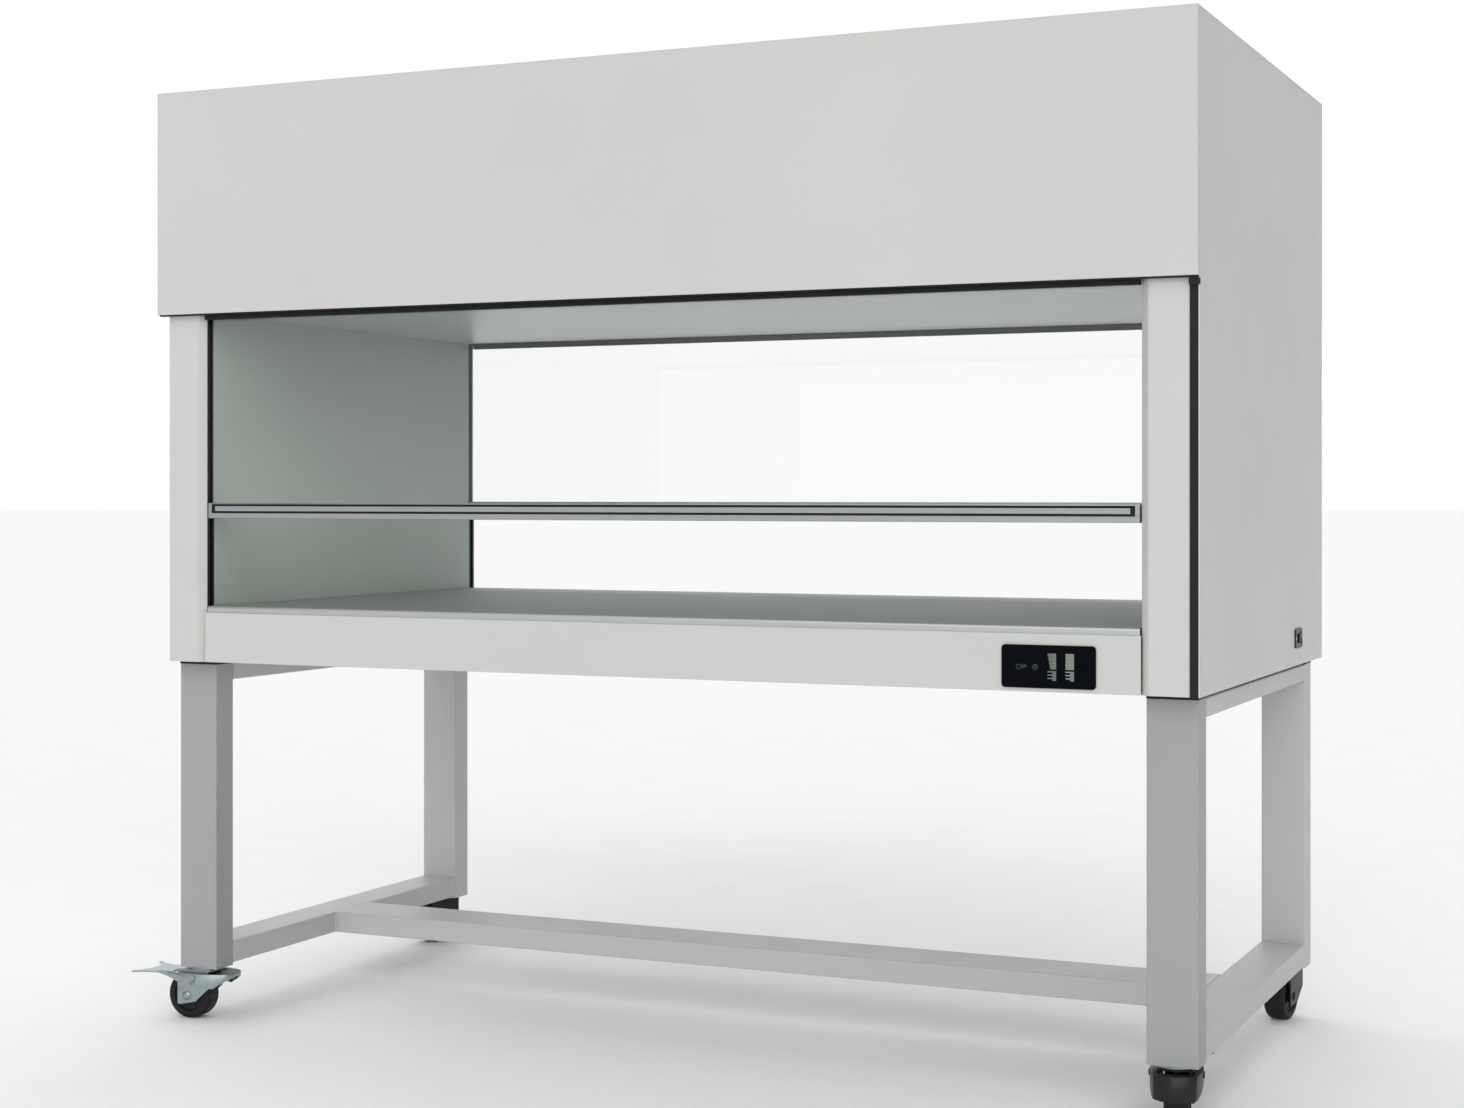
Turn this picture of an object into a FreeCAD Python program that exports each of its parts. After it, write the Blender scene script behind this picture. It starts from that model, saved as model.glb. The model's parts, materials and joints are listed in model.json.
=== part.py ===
import FreeCAD, Part
import math
import os

# Double-sided vertical-flow clean bench on a welded, castered stand.
# Millimetres. Origin on the floor under the middle of the bench, +X to the
# operator's right, -Y towards the front operator, +Z up.

# ---- driving dimensions -------------------------------------------------
WIDTH = 1900.0
DEPTH = 990.0
HEIGHT = 1684.0
HALF_WIDTH = WIDTH / 2
HALF_DEPTH = DEPTH / 2
SHEET = 2.0                     # folded sheet steel
FIT = 0.3                       # gap between pieces that only sit together

# Levels above the floor
STAND_BOTTOM = 95.0
PAD = 7.0
CABINET_BOTTOM = 656.0
STAND_TOP = CABINET_BOTTOM - PAD
BASE_TOP = 745.0
WORKTOP_TOP = 757.0
HOOD_BOTTOM = 1283.0

# Stand tubes
LEG_X = 80.0
LEG_Y = 52.0
LEG_WALL = 3.0
LEG_INSET_X = 11.0
LEG_INSET_Y = 52.0
LEG_CENTRE_X = HALF_WIDTH - LEG_INSET_X - LEG_X / 2
LEG_CENTRE_Y = HALF_DEPTH - LEG_INSET_Y - LEG_Y / 2
RAIL_WALL = 2.5
TOP_RAIL_Z = 30.0
LOW_RAIL_Z = 40.0
LOW_RAIL_BOTTOM = STAND_BOTTOM + 4.0
STRETCHER_Y = 120.0

# Cabinet faces, as distances from the middle planes
COLUMN_FACE_Y = HALF_DEPTH - 15.0
COLUMN_OUTER_X = HALF_WIDTH - 15.5
COLUMN_FLAT = 62.5
CHAMBER_X = 859.0               # inner faces of walls, guides and columns
BASE_FACE_Y = COLUMN_FACE_Y - 5.0
SIDE_FACE_Y = COLUMN_FACE_Y + 2.0
HOOD_SIDE_Y = HALF_DEPTH - 2.3
SET_BACK_Y = COLUMN_FACE_Y - 22.0
# How far each side panel reaches at its front and rear edge, and where that
# edge carries the rounded black cap
SIDE_REACH = {
    ("left", "front"): SET_BACK_Y,
    ("left", "rear"): SIDE_FACE_Y,
    ("right", "front"): SIDE_FACE_Y,
    ("right", "rear"): HOOD_SIDE_Y,
}
GUIDE_FRONT_Y = 466.5
GUIDE_DEPTH = 18.0
GUIDE_WIDTH = 13.0
GUIDE_TOP = 1290.0

# Sashes
GLASS = 6.0
GLASS_Y = GUIDE_FRONT_Y - GUIDE_DEPTH / 2
GLASS_HALF_X = CHAMBER_X + 6.0
GLASS_TOP = 1485.0
SASH_RAIL_Z = 28.0
SASH_RAIL_Y = 24.0
SASH_RAIL_BOTTOM = 915.0
SASH_RAIL_HALF_X = CHAMBER_X - 3.0
GUIDE_SLOT = GLASS + 2.0
HOOK_Z = 1350.0                 # where the balance cable takes hold

# Sash balance
WEIGHT_X = 44.0
WEIGHT_Y = 50.0
WEIGHT_Z = 480.0
WEIGHT_BOTTOM = 850.0
WEIGHT_CENTRE_X = 903.0
SHEAVE_R = 21.0
SHAFT_R = 6.0
SHAFT_Z = 1625.0
SHAFT_Y = GLASS_Y - SHEAVE_R
WEIGHT_CENTRE_Y = SHAFT_Y - SHEAVE_R
RUNNING = 0.05                  # radial clearance of a shaft in its bearing

# Air handling
FILTER_X = 850.0
FILTER_Y = 440.0
FILTER_BOTTOM = 1292.0
FILTER_Z = 69.0
PLENUM_X = 848.0
PLENUM_Y = 400.0
DECK_Z = 1600.0
FAN_X = 430.0
IMPELLER_R = 150.0
IMPELLER_BOTTOM = 1450.0
SPINDLE_R = 10.0
INTAKE_X = 640.0
INTAKE_Y = 420.0
LAMP_Y = 50.0

# Electrical pieces
PANEL_X = 716.0
PANEL_WIDTH = 149.0
PANEL_HEIGHT = 66.0
PANEL_BOTTOM = 662.0
INLET_Y = 262.0
INLET_Z = 704.0
INLET_WIDTH = 58.0
INLET_HEIGHT = 34.0
ROCKER_TILT = 7.0

# Casters
WHEEL_R = 43.0
WHEEL_WIDTH = 38.0
TRAIL = 27.0
FORK_INNER = 22.5
FORK_PLATE = 3.0
CROWN_Z = 88.0
MOUNT_Z = 93.0
PEDAL_TOP = 86.0
PEDAL_HALF = 40.0
PEDAL_SHEET = 2.5
PEDAL_PIVOT = 6.0
PEDAL_PIVOT_Z = 79.0
HORN_REACH = 127.0
HORN_HALF = 49.0
# Brake pedals: reach of the heel, and the height of its skirt beside the swivel and at its end
PEDAL_HEELS = {
    "front_left": (66.0, 60.0, 83.0),
    "front_right": (53.0, 50.0, 47.0),
}
# Direction, in degrees from +X, in which each wheel trails behind its swivel
CASTERS = {
    "front_left": (-1, -1, 185.0),
    "front_right": (1, -1, 100.0),
    "rear_left": (-1, 1, 243.0),
    "rear_right": (1, 1, 261.0),
}

Z_AXIS = FreeCAD.Vector(0, 0, 1)
X_AXIS = FreeCAD.Vector(1, 0, 0)
Y_AXIS = FreeCAD.Vector(0, 1, 0)

os.makedirs("parts", exist_ok=True)


# ---- helpers ------------------------------------------------------------
def vec(x, y, z):
    return FreeCAD.Vector(x, y, z)


def block(x0, x1, y0, y1, z0, z1):
    """Box between two corners given in any order."""
    low = vec(min(x0, x1), min(y0, y1), min(z0, z1))
    return Part.makeBox(abs(x1 - x0), abs(y1 - y0), abs(z1 - z0), low)


def bar(centre_x, centre_y, size_x, size_y, z0, z1):
    return block(centre_x - size_x / 2, centre_x + size_x / 2,
                 centre_y - size_y / 2, centre_y + size_y / 2, z0, z1)


def rod(radius, start, axis, length):
    return Part.makeCylinder(radius, length, start, axis)


def prism(points, z0, z1):
    """Straight-sided outline in X and Y, raised from z0 to z1."""
    corners = [vec(x, y, z0) for x, y in points]
    face = Part.Face(Part.makePolygon(corners + corners[:1]))
    return face.extrude(vec(0, 0, z1 - z0))


def side_plate(points, v0, v1):
    """Outline in X and Z, raised along Y from v0 to v1."""
    corners = [vec(x, v0, z) for x, z in points]
    face = Part.Face(Part.makePolygon(corners + corners[:1]))
    return face.extrude(vec(0, v1 - v0, 0))


def round_edges(shape, radius, direction):
    """Round every straight edge that runs along the given direction."""
    edges = []
    for edge in shape.Edges:
        ends = edge.Vertexes
        if len(ends) == 2:
            run = ends[1].Point.sub(ends[0].Point)
            if abs(abs(run.dot(direction)) - run.Length) < 1e-6:
                edges.append(edge)
    return shape.makeFillet(radius, edges)


def one(shape):
    """The single solid of a boolean result."""
    tidy = shape.removeSplitter()
    return tidy.Solids[0] if len(tidy.Solids) == 1 else tidy


def save(name, *solids):
    pieces = []
    for shape in solids:
        pieces.extend(shape.Solids)
    whole = pieces[0] if len(pieces) == 1 else Part.makeCompound(pieces)
    whole.exportStep("parts/" + name + ".step")


def side_sign(side):
    return {"left": -1, "right": 1, "front": -1, "rear": 1}[side]


# ---- stand --------------------------------------------------------------
def leg(sign_x, sign_y):
    """Rectangular tube, closed at the foot by a plate drilled for the caster."""
    x = sign_x * LEG_CENTRE_X
    y = sign_y * LEG_CENTRE_Y
    foot_plate = 6.0
    outer = round_edges(bar(x, y, LEG_X, LEG_Y, STAND_BOTTOM, STAND_TOP), 3.0, Z_AXIS)
    inner = bar(x, y, LEG_X - 2 * LEG_WALL, LEG_Y - 2 * LEG_WALL,
                STAND_BOTTOM + foot_plate, STAND_TOP + 1)
    stem_hole = rod(6.2, vec(x, y, STAND_BOTTOM - 1), Z_AXIS, foot_plate + 2)
    return one(outer.cut(inner).cut(stem_hole))


def side_rail(sign_x, bottom, height):
    """Tube between the front and rear legs of one side."""
    x = sign_x * LEG_CENTRE_X
    length = 2 * LEG_CENTRE_Y - LEG_Y
    outer = round_edges(bar(x, 0, LEG_X, length, bottom, bottom + height), 2.5, Y_AXIS)
    inner = bar(x, 0, LEG_X - 2 * RAIL_WALL, length + 2,
                bottom + RAIL_WALL, bottom + height - RAIL_WALL)
    return one(outer.cut(inner))


def stretcher():
    length = 2 * LEG_CENTRE_X - LEG_X
    top = LOW_RAIL_BOTTOM + LOW_RAIL_Z
    outer = round_edges(bar(0, 0, length, STRETCHER_Y, LOW_RAIL_BOTTOM, top), 2.5, X_AXIS)
    inner = bar(0, 0, length + 2, STRETCHER_Y - 2 * RAIL_WALL,
                LOW_RAIL_BOTTOM + RAIL_WALL, top - RAIL_WALL)
    return one(outer.cut(inner))


def make_stand():
    for name, (sign_x, sign_y, _) in CASTERS.items():
        save("leg_" + name, leg(sign_x, sign_y))
    for side in ("left", "right"):
        sign = side_sign(side)
        save("top_rail_" + side, side_rail(sign, STAND_TOP - TOP_RAIL_Z, TOP_RAIL_Z))
        save("bottom_rail_" + side, side_rail(sign, LOW_RAIL_BOTTOM, LOW_RAIL_Z))
    save("stretcher", stretcher())


# ---- casters, built with the swivel axis on Z and the wheel along +X ------
def caster_mount():
    """Round plate under the leg, its threaded stem and its king pin."""
    plate = rod(32, vec(0, 0, MOUNT_Z), Z_AXIS, STAND_BOTTOM - MOUNT_Z)
    stem = rod(6, vec(0, 0, STAND_BOTTOM), Z_AXIS, 30)
    king_pin = rod(7, vec(0, 0, CROWN_Z - 1), Z_AXIS, MOUNT_Z - CROWN_Z + 1)
    pin_head = rod(11, vec(0, 0, CROWN_Z - 3.5), Z_AXIS, 3.0)
    return one(plate.fuse([stem, king_pin, pin_head]))


def caster_fork(braked):
    """Pressed fork with its swivel race, riveted axle and, if braked, pedal pins."""
    outer = FORK_INNER + FORK_PLATE
    crown_top = CROWN_Z + FORK_PLATE
    nose = TRAIL + 26
    crown = block(-24, nose, -outer, outer, CROWN_Z, crown_top)
    crown = round_edges(crown, 14, Z_AXIS)
    race = rod(23, vec(0, 0, CROWN_Z), Z_AXIS, MOUNT_Z - FIT - CROWN_Z)
    bore = rod(7 + RUNNING, vec(0, 0, CROWN_Z - 1), Z_AXIS, 20)
    profile = [(-17, crown_top - 1), (nose - 7, crown_top - 1), (nose - 7, 29),
               (nose - 10, 26), (9, 33), (-17, 56)]
    cheeks = [side_plate(profile, FORK_INNER, outer),
              side_plate(profile, -outer, -FORK_INNER)]
    rivet = 1.5
    axle = rod(5, vec(TRAIL, -outer - rivet, WHEEL_R), Y_AXIS, 2 * (outer + rivet))
    pins = []
    if braked:
        for start, head in ((outer - 1, PEDAL_HALF + FIT), (-PEDAL_HALF - 2, -PEDAL_HALF - 2)):
            length = PEDAL_HALF + 3 - outer
            pins.append(rod(3, vec(PEDAL_PIVOT, start, PEDAL_PIVOT_Z), Y_AXIS, length))
            pins.append(rod(5.5, vec(PEDAL_PIVOT, head, PEDAL_PIVOT_Z), Y_AXIS, 2 - FIT))
    return one(crown.fuse([race, axle] + cheeks + pins).cut(bore))


def caster_wheel():
    """Tyre with rounded shoulders on a recessed hub, bored for the axle."""
    half = WHEEL_WIDTH / 2
    shoulder = 7.0
    points = [(5 + RUNNING, half + 3), (11, half + 3), (11, half - 4), (27, half - 4),
              (30, half), (WHEEL_R - shoulder, half)]
    ring = [vec(r, v, 0) for r, v in points]
    mirrored = [vec(r, -v, 0) for r, v in reversed(points)]
    bend = shoulder * (1 - math.sqrt(0.5))
    upper = Part.Arc(ring[-1], vec(WHEEL_R - bend, half - bend, 0),
                     vec(WHEEL_R, half - shoulder, 0)).toShape()
    lower = Part.Arc(vec(WHEEL_R, shoulder - half, 0),
                     vec(WHEEL_R - bend, bend - half, 0), mirrored[0]).toShape()
    tread = Part.makeLine(vec(WHEEL_R, half - shoulder, 0), vec(WHEEL_R, shoulder - half, 0))
    edges = Part.makePolygon(ring).Edges + [upper, tread, lower]
    edges += Part.makePolygon(mirrored).Edges + [Part.makeLine(mirrored[-1], ring[0])]
    face = Part.Face(Part.Wire(edges))
    wheel = face.revolve(vec(0, 0, 0), Y_AXIS, 360)
    wheel.translate(vec(TRAIL, 0, WHEEL_R))
    return wheel


def pedal_outline(z, inset, heel_reach):
    """Outline seen from above: round heel, waisted sides and two swept horns."""
    def arc(*points):
        return Part.Arc(*[vec(u, v, z) for u, v in points]).toShape()

    heel = (-40 + inset, 32 - inset)
    flank = (0, PEDAL_HALF - inset)
    side = (40, PEDAL_HALF - 3 - inset)
    neck = (88, 28 - inset)
    tip = (HORN_REACH - 7 * inset, HORN_HALF - 6.6 * inset)
    nose = (tip[0] + 2.5, tip[1] - 4)
    notch = (tip[0], tip[1] - 8)
    left = [heel, flank, side, neck, tip, nose, notch]
    right = [(u, -v) for u, v in reversed(left)]
    middle = (HORN_REACH - 21 - inset, 0)
    back = (inset - heel_reach, 0)
    path = left + [middle] + right + [back, heel]
    return Part.Wire([arc(*path[i:i + 3]) for i in range(0, len(path) - 1, 2)])


def brake_pedal(name):
    """Pressed pedal: a shell round the fork, with two horns and its own kind of heel."""
    heel_reach, heel_z, heel_end_z = PEDAL_HEELS[name]
    low = 40.0
    solid = Part.Face(pedal_outline(low, 0, heel_reach)).extrude(vec(0, 0, PEDAL_TOP - low))
    pocket = Part.Face(pedal_outline(low - 1, PEDAL_SHEET, heel_reach))
    pocket = pocket.extrude(vec(0, 0, PEDAL_TOP - PEDAL_SHEET - low + 1))
    below = [(-heel_reach - 3, low - 2), (-heel_reach - 3, heel_end_z), (-32, heel_z),
             (0, 62), (50, 72), (85, 81), (HORN_REACH + 3, 83.5), (HORN_REACH + 3, low - 2)]
    hem = side_plate(below, -HORN_HALF - 10, HORN_HALF + 10)
    fork_window = block(-32, TRAIL + 29, -28, 28, low - 2, PEDAL_TOP + 1)
    pin_hole = rod(3 + RUNNING, vec(PEDAL_PIVOT, -50, PEDAL_PIVOT_Z), Y_AXIS, 100)
    return one(solid.cut(pocket).cut(hem).cut(fork_window).cut(pin_hole))


def placed(shape, sign_x, sign_y, heading):
    copy = shape.copy()
    copy.rotate(vec(0, 0, 0), Z_AXIS, heading)
    copy.translate(vec(sign_x * LEG_CENTRE_X, sign_y * LEG_CENTRE_Y, 0))
    return copy


def make_casters():
    mount = caster_mount()
    wheel = caster_wheel()
    save("caster_mounts", *[placed(mount, *place) for place in CASTERS.values()])
    for name, place in CASTERS.items():
        braked = name in PEDAL_HEELS
        save("caster_fork_" + name, placed(caster_fork(braked), *place))
        save("caster_wheel_" + name, placed(wheel, *place))
        if braked:
            save("brake_pedal_" + name, placed(brake_pedal(name), *place))


# ---- base ---------------------------------------------------------------
def base_tray():
    """Pan that carries the worktop: a flat sheet with upstands tacked round its edge.

    It has wings under the side walls, and the right end is open at the power inlet.
    """
    low = CABINET_BOTTOM + SHEET + FIT
    foot = low + SHEET + FIT
    top = BASE_TOP - SHEET - FIT
    wide = HALF_WIDTH - SHEET - FIT
    middle = CHAMBER_X - 4
    deep = BASE_FACE_Y - SHEET - FIT
    wing = 380.0
    core = block(-middle, middle, -deep, deep, low, low + SHEET)
    plate = one(core.fuse(block(-wide, wide, -wing, wing, low, low + SHEET)))
    upstands = []
    for y in (-1, 1):
        upstands.append(block(-middle, middle, y * (deep - SHEET), y * deep, foot, top))
        for x in (-1, 1):
            upstands.append(block(x * (middle - SHEET), x * middle,
                                  y * (wing + FIT), y * (deep - SHEET - FIT), foot, top))
            upstands.append(block(x * (middle - SHEET), x * (wide - SHEET - FIT),
                                  y * (wing - SHEET), y * wing, foot, top))
    upstands.append(block(SHEET - wide, -wide, -wing, wing, foot, top))
    for start, end in ((-wing, INLET_Y - INLET_WIDTH / 2), (INLET_Y + INLET_WIDTH / 2, wing)):
        upstands.append(block(wide - SHEET, wide, start, end, foot, top))
    return [plate] + upstands


def base_panel(sign_y):
    """Front of the base: a channel with a top and a bottom flange."""
    reach = CHAMBER_X
    face = block(-reach, reach, sign_y * (BASE_FACE_Y - SHEET), sign_y * BASE_FACE_Y,
                 CABINET_BOTTOM, BASE_TOP)
    top = block(-reach, reach, sign_y * (BASE_FACE_Y - 20), sign_y * BASE_FACE_Y,
                BASE_TOP - SHEET, BASE_TOP)
    foot = block(-reach, reach, sign_y * (BASE_FACE_Y - 20), sign_y * BASE_FACE_Y,
                 CABINET_BOTTOM, CABINET_BOTTOM + SHEET)
    return one(face.fuse([top, foot]))


def worktop():
    """Stainless tray turned down all round, with softened front and rear edges."""
    half_x = CHAMBER_X - 2.5
    half_y = BASE_FACE_Y - 4
    outer = block(-half_x, half_x, -half_y, half_y, BASE_TOP, WORKTOP_TOP)
    lips = []
    for edge in outer.Edges:
        box = edge.BoundBox
        if box.ZMin > WORKTOP_TOP - 0.1 and box.XLength > half_x:
            lips.append(edge)
    outer = outer.makeFillet(4.0, lips)
    inner = block(-half_x + SHEET, half_x - SHEET, -half_y + SHEET, half_y - SHEET,
                  BASE_TOP - 1, WORKTOP_TOP - SHEET)
    return one(outer.cut(inner))


# ---- walls --------------------------------------------------------------
def shaft_bearing(sign_x, sign_y):
    """Flanged bearing for a balance shaft, fixed inside the side panel."""
    inner = sign_x * (HALF_WIDTH - 14)
    outer = sign_x * (HALF_WIDTH - SHEET / 2)
    housing = block(inner, outer, sign_y * (SHAFT_Y - 18), sign_y * (SHAFT_Y + 18),
                    SHAFT_Z - 18, SHAFT_Z + 18)
    start = vec(min(inner, outer) - 1, sign_y * SHAFT_Y, SHAFT_Z)
    if sign_x < 0:
        start = vec(outer + SHEET / 2 + 1, sign_y * SHAFT_Y, SHAFT_Z)
    bore = rod(SHAFT_R + RUNNING, start, X_AXIS, 12)
    return housing, bore


def side_panel(side):
    """Full-height side with bottom and top flanges and both shaft bearings."""
    sign_x = side_sign(side)
    inner = sign_x * (HALF_WIDTH - SHEET)
    outer = sign_x * HALF_WIDTH
    lower = block(inner, outer, -SIDE_REACH[side, "front"], SIDE_REACH[side, "rear"],
                  CABINET_BOTTOM, HOOD_BOTTOM)
    upper = block(inner, outer, -HOOD_SIDE_Y, HOOD_SIDE_Y, HOOD_BOTTOM, HEIGHT - SHEET - FIT)
    foot = block(sign_x * (HALF_WIDTH - 14), outer, -380, 380,
                 CABINET_BOTTOM, CABINET_BOTTOM + SHEET)
    panel = lower.fuse([upper, foot])
    for sign_y in (-1, 1):
        housing, bore = shaft_bearing(sign_x, sign_y)
        panel = panel.fuse(housing).cut(bore)
    if side == "right":
        panel = panel.cut(bar(HALF_WIDTH, INLET_Y, 40, INLET_WIDTH - 10,
                              INLET_Z - INLET_HEIGHT / 2 + 3, INLET_Z + INLET_HEIGHT / 2 - 3))
    return one(panel)


def inner_wall(sign_x):
    """Liner of the work chamber, folded outwards behind the sash guides."""
    reach = GUIDE_FRONT_Y - GUIDE_DEPTH - FIT
    face = block(sign_x * CHAMBER_X, sign_x * (CHAMBER_X + SHEET), -reach, reach,
                 BASE_TOP + FIT, HOOD_BOTTOM + 2)
    folds = [block(sign_x * CHAMBER_X, sign_x * (CHAMBER_X + GUIDE_WIDTH),
                   sign_y * reach, sign_y * (reach - SHEET), BASE_TOP + FIT, HOOD_BOTTOM + 2)
             for sign_y in (-1, 1)]
    return one(face.fuse(folds))


def column(sign_x, sign_y):
    """Folded corner cover with a flat face and a bevel down to the sash guide."""
    flat_end = COLUMN_OUTER_X - COLUMN_FLAT
    back = 432.0
    y = COLUMN_FACE_Y
    outline = [(COLUMN_OUTER_X, back), (COLUMN_OUTER_X, y), (flat_end, y),
               (CHAMBER_X, y - 11.5), (CHAMBER_X + 1.3, y - 13), (flat_end + 0.8, y - SHEET),
               (COLUMN_OUTER_X - SHEET, y - SHEET), (COLUMN_OUTER_X - SHEET, back)]
    points = [(sign_x * px, sign_y * py) for px, py in outline]
    return prism(points, CABINET_BOTTOM, HOOD_BOTTOM + 12)


def sash_guide(sign_x, sign_y):
    """Black channel that the edge of the glass runs in."""
    back = GUIDE_FRONT_Y - GUIDE_DEPTH
    outer = block(sign_x * CHAMBER_X, sign_x * (CHAMBER_X + GUIDE_WIDTH),
                  sign_y * back, sign_y * GUIDE_FRONT_Y, BASE_TOP + FIT, GUIDE_TOP)
    slot = block(sign_x * (CHAMBER_X - 1), sign_x * (GLASS_HALF_X + 2),
                 sign_y * (GLASS_Y - GUIDE_SLOT / 2), sign_y * (GLASS_Y + GUIDE_SLOT / 2),
                 BASE_TOP, GUIDE_TOP + 1)
    return one(outer.cut(slot))


def edge_strip(side, end):
    """Black edging between column and side panel, with a rounded cap where it shows."""
    sign_x = side_sign(side)
    sign_y = side_sign(end)
    face = min(SIDE_REACH[side, end], SIDE_FACE_Y)
    inner = COLUMN_OUTER_X + 0.5
    outer = HALF_WIDTH - SHEET - 0.5
    strip = block(sign_x * inner, sign_x * outer, sign_y * (face - 12), sign_y * face,
                  CABINET_BOTTOM, HOOD_BOTTOM - 8)
    if SIDE_REACH[side, end] != SIDE_FACE_Y:
        return strip
    cap = block(sign_x * inner, sign_x * (HALF_WIDTH + 1.5),
                sign_y * (face + 0.5), sign_y * (face + 8), HOOD_BOTTOM - 14, HOOD_BOTTOM - 2.8)
    cap = round_edges(cap, 3.5, Y_AXIS)
    neck = block(sign_x * inner, sign_x * outer,
                 sign_y * (face - 12), sign_y * (face + 4), HOOD_BOTTOM - 14, HOOD_BOTTOM - 3.5)
    return one(strip.fuse([cap, neck]))


def edge_seals():
    """Every black rubber edging: corner strips, hood gaskets and leg pads."""
    seals = []
    for end in ("front", "rear"):
        sign_y = side_sign(end)
        lip = block(-HALF_WIDTH + 3, HALF_WIDTH - 3,
                    sign_y * (COLUMN_FACE_Y + 1), sign_y * (HALF_DEPTH - 3),
                    HOOD_BOTTOM - 2.5, HOOD_BOTTOM)
        brush = block(-CHAMBER_X + 1, CHAMBER_X - 1, sign_y * (GUIDE_FRONT_Y + 0.5),
                      sign_y * (COLUMN_FACE_Y - 2), HOOD_BOTTOM - 10, HOOD_BOTTOM + 6)
        seals += [lip, brush]
        for side in ("left", "right"):
            seals.append(edge_strip(side, end))
            seals.append(bar(side_sign(side) * LEG_CENTRE_X, sign_y * LEG_CENTRE_Y,
                             LEG_X, LEG_Y, STAND_TOP, CABINET_BOTTOM))
    return seals


# ---- hood ---------------------------------------------------------------
def hood_cover(sign_y):
    """Full-width hood front with turned-in bottom and top flanges."""
    y = HALF_DEPTH
    top = HEIGHT - SHEET
    face = block(-HALF_WIDTH, HALF_WIDTH, sign_y * (y - SHEET), sign_y * y, HOOD_BOTTOM, top)
    foot = block(-HALF_WIDTH + 4, HALF_WIDTH - 4, sign_y * (y - 14), sign_y * y,
                 HOOD_BOTTOM, HOOD_BOTTOM + SHEET)
    head = block(-HALF_WIDTH + 4, HALF_WIDTH - 4, sign_y * (y - 14), sign_y * y,
                 top - SHEET, top)
    return one(face.fuse([foot, head]))


def hood_top():
    """Roof with two intake windows, each with a hanging pre-filter tray."""
    roof = block(-HALF_WIDTH, HALF_WIDTH, -HALF_DEPTH, HALF_DEPTH, HEIGHT - SHEET, HEIGHT)
    roof = round_edges(roof, 2.0, Z_AXIS)
    depth = 40.0
    for sign_x in (-1, 1):
        x = sign_x * FAN_X
        low = HEIGHT - depth
        tray = bar(x, 0, INTAKE_X + 2 * SHEET, INTAKE_Y + 2 * SHEET, low, HEIGHT)
        roof = roof.fuse(tray)
        roof = roof.cut(bar(x, 0, INTAKE_X, INTAKE_Y, low + SHEET, HEIGHT + 1))
        roof = roof.cut(bar(x, 0, INTAKE_X - 24, INTAKE_Y - 24, low - 1, HEIGHT))
    return one(roof)


def intake_grille(x):
    """Slotted plate that drops into an intake window."""
    top = HEIGHT - 1.4
    plate = bar(x, 0, INTAKE_X - 1, INTAKE_Y - 1, top - 3, top)
    slots = []
    slot_width = 10.0
    pitch = 22.0
    rows = 17
    for column_index in (-1, 0, 1):
        for row in range(rows):
            y = (row - (rows - 1) / 2) * pitch
            slots.append(bar(x + column_index * 200, y, 180, slot_width,
                             HEIGHT - 4, HEIGHT + 1))
    return one(plate.cut(slots))


def prefilter(x):
    """Pleated-card pre-filter lying on the ledge of its tray."""
    low = HEIGHT - 40 + SHEET + FIT
    frame = bar(x, 0, INTAKE_X - 4, INTAKE_Y - 4, low, low + 22)
    frame = frame.cut(bar(x, 0, INTAKE_X - 44, INTAKE_Y - 44, low + 17, low + 23))
    return one(frame)


def plenum():
    """Pressure box over the filter: four walls, fan deck and motor brackets."""
    low = FILTER_BOTTOM + FILTER_Z + FIT
    walls = block(-PLENUM_X, PLENUM_X, -PLENUM_Y, PLENUM_Y, low, DECK_Z)
    walls = walls.cut(block(-PLENUM_X + SHEET, PLENUM_X - SHEET,
                            -PLENUM_Y + SHEET, PLENUM_Y - SHEET, low - 1, DECK_Z - SHEET))
    pieces = []
    for sign in (-1, 1):
        x = sign * FAN_X
        mouth_r = 92.0
        nozzle = rod(mouth_r + 2, vec(x, 0, DECK_Z - 34), Z_AXIS, 34)
        walls = walls.fuse(nozzle)
        walls = walls.cut(rod(mouth_r, vec(x, 0, DECK_Z - 40), Z_AXIS, 60))
        beam = bar(x, 0, 70, 2 * PLENUM_Y - 2, IMPELLER_BOTTOM - 12, IMPELLER_BOTTOM - 6)
        spindle = rod(SPINDLE_R, vec(x, 0, IMPELLER_BOTTOM - 8), Z_AXIS, 58)
        pieces += [beam, spindle]
    return one(walls.fuse(pieces))


def impeller(x):
    """Backward-curved wheel on an outer-rotor motor hub."""
    low = IMPELLER_BOTTOM
    hub = rod(48, vec(x, 0, low), Z_AXIS, 62)
    back = rod(IMPELLER_R, vec(x, 0, low + 12), Z_AXIS, 3)
    shroud_z = low + 100
    shroud = rod(IMPELLER_R, vec(x, 0, shroud_z), Z_AXIS, 3)
    shroud = shroud.cut(rod(104, vec(x, 0, shroud_z - 1), Z_AXIS, 5))
    blades = []
    count = 7
    for index in range(count):
        blade = block(-2, 2, 0, 62, low + 14, shroud_z + 1)
        blade.rotate(vec(0, 0, 0), Z_AXIS, 50)
        blade.translate(vec(IMPELLER_R - 14, 0, 0))
        blade.rotate(vec(0, 0, 0), Z_AXIS, index * 360 / count)
        blade.translate(vec(x, 0, 0))
        blades.append(blade)
    bore = rod(SPINDLE_R + RUNNING, vec(x, 0, low - 1), Z_AXIS, 54)
    limit = rod(IMPELLER_R, vec(x, 0, low - 1), Z_AXIS, 120)
    wheel = hub.fuse([back, shroud] + blades).cut(bore)
    return one(wheel.common(limit))


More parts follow.
